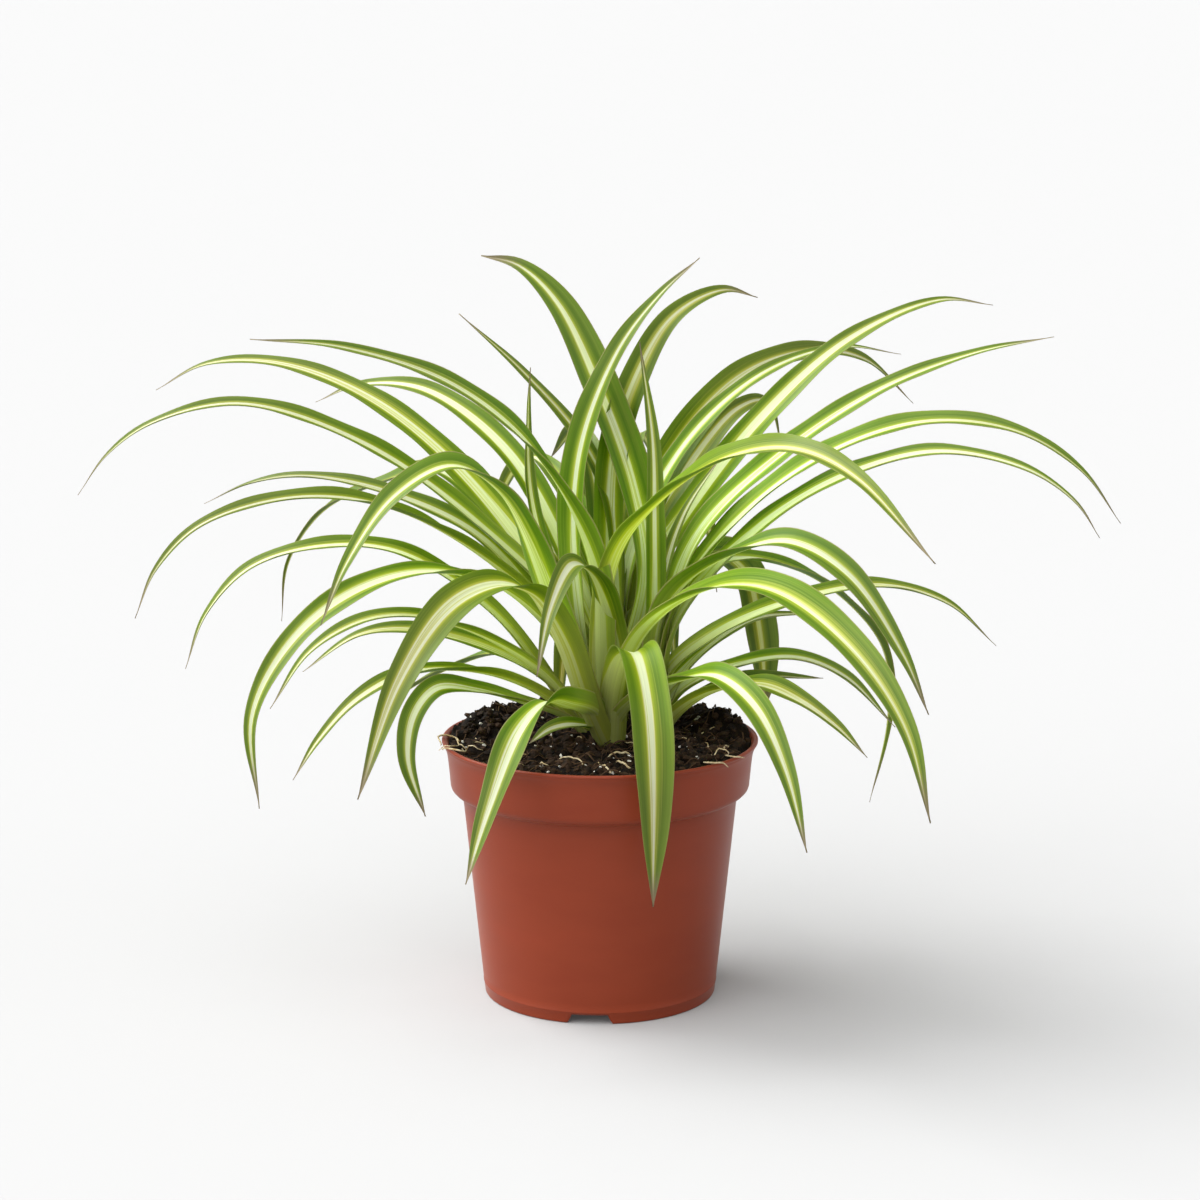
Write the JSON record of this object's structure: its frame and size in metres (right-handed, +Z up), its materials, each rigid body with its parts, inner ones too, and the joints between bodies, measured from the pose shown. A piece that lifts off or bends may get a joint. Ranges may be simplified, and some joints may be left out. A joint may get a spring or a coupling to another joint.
{
  "type": "potted spider plant",
  "caption": "Striped, arching strap-leaved house plant in a small terracotta-coloured plastic nursery pot, to stand on a flat surface.",
  "frame": {"origin": "middle of the pot's foot, on the surface that it stands on, under the middle of the plant's overall size", "axes": "+Z up out of the pot, +X to the right and -Y towards the viewer in the front view"},
  "size_m": [0.3897, 0.2727, 0.2796],
  "materials": {
    "pot_plastic": "satin moulded polypropylene, terracotta coloured",
    "potting_mix": "damp, dark, fibrous potting mix, fully matt",
    "leaf": "satin living leaf, green with a cream centre stripe"
  },
  "bodies": {
    "root": {"pot": "pot_plastic", "potting_mix": "potting_mix", "rosette_front": "leaf", "rosette_left": "leaf", "rosette_right": "leaf", "rosette_back": "leaf"}
  },
  "joints": []
}
